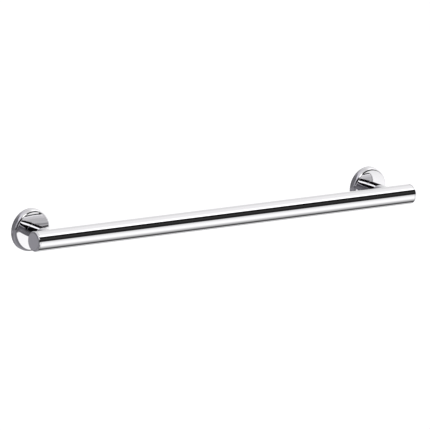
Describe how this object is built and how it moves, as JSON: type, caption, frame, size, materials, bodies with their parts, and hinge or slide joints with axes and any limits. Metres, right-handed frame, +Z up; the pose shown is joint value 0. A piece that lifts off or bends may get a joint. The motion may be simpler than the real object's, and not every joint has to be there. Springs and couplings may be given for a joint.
{
  "type": "grab bar",
  "caption": "Straight round chrome grab bar with flat end caps, carried on round posts with thick round rosettes that hide screw-on wall plates.",
  "frame": {"origin": "on the wall plane, midway between the two posts, at the height of their axes", "axes": "+X along the bar, to the right as seen from the room; +Y into the wall; +Z up"},
  "size_m": [0.698, 0.079, 0.064],
  "materials": {
    "polished_chrome": "mirror polished chrome plate on brass",
    "brass": "turned brass",
    "zinc_steel": "zinc plated steel",
    "stainless_steel": "plain stainless steel"
  },
  "bodies": {
    "root": {"bar_tube": "polished_chrome", "left_end_cap": "polished_chrome", "left_post": "polished_chrome", "left_rosette": "polished_chrome", "right_end_cap": "polished_chrome", "right_post": "polished_chrome", "right_rosette": "polished_chrome", "left_tube_insert": "brass", "right_tube_insert": "brass", "left_wall_plate": "zinc_steel", "right_wall_plate": "zinc_steel", "left_through_bolt": "stainless_steel", "left_bolt_washer": "stainless_steel", "left_grub_screw": "stainless_steel", "right_through_bolt": "stainless_steel", "right_bolt_washer": "stainless_steel", "right_grub_screw": "stainless_steel"}
  },
  "joints": []
}
